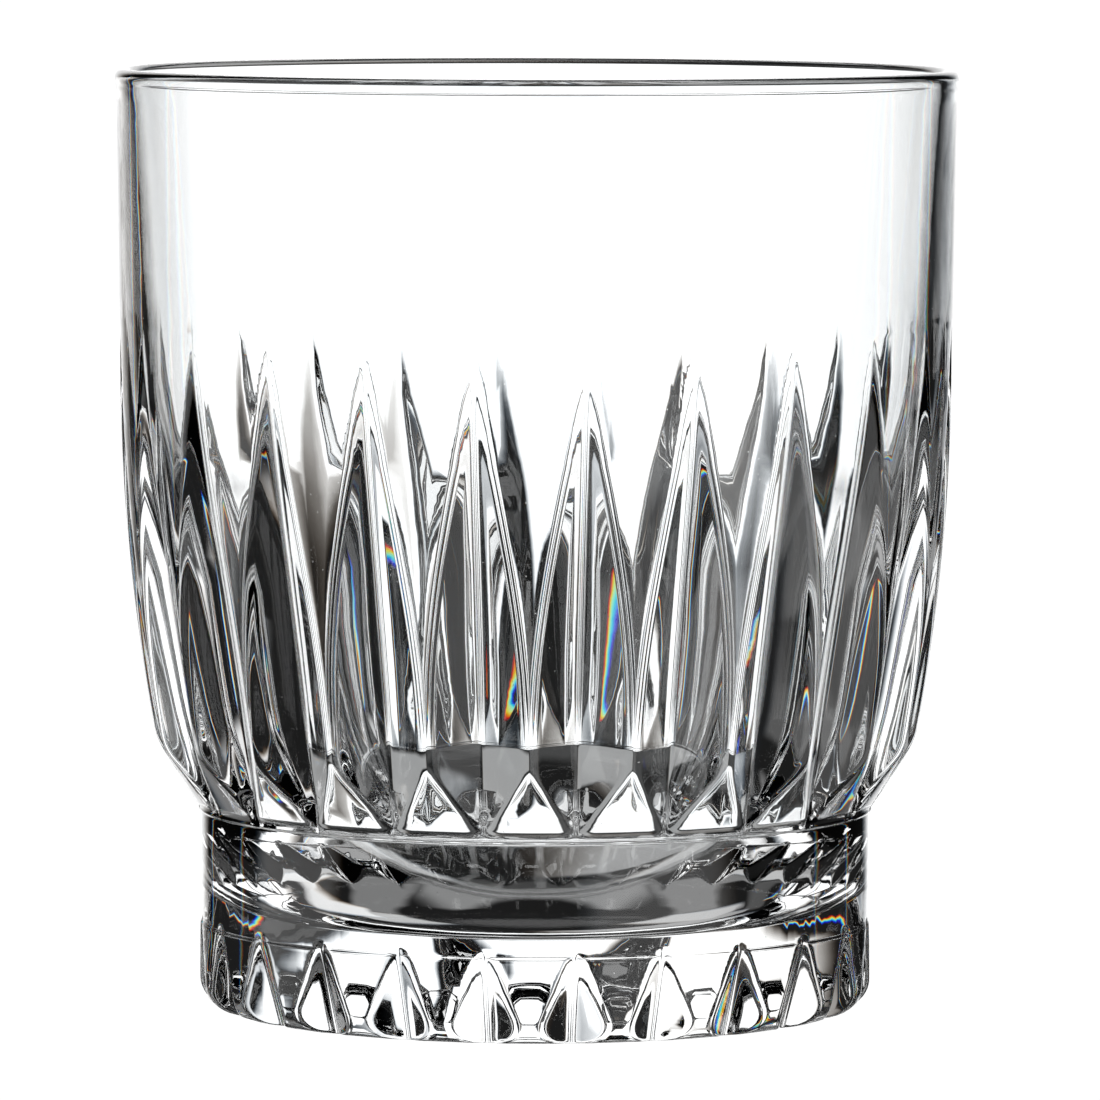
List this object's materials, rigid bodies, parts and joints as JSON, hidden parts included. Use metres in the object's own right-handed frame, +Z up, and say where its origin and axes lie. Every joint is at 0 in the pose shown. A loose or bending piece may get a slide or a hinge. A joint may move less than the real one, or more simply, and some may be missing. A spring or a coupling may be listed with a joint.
{
  "type": "whiskey tumbler",
  "caption": "Round clear pressed-glass tumbler with tall V cuts around the bowl and a thick, round, cut foot.",
  "frame": {"origin": "middle of the circle that the foot stands on", "axes": "+Z up along the tumbler's axis; -Y is the side that faces the viewer, +X is to the viewer's right"},
  "size_m": [0.0828, 0.0828, 0.092],
  "materials": {
    "tumbler_glass": "clear soda-lime glass, pressed and fire-polished, smooth and glossy, rounded cut edges"
  },
  "bodies": {
    "root": {"tumbler_glass": "tumbler_glass"}
  },
  "joints": []
}
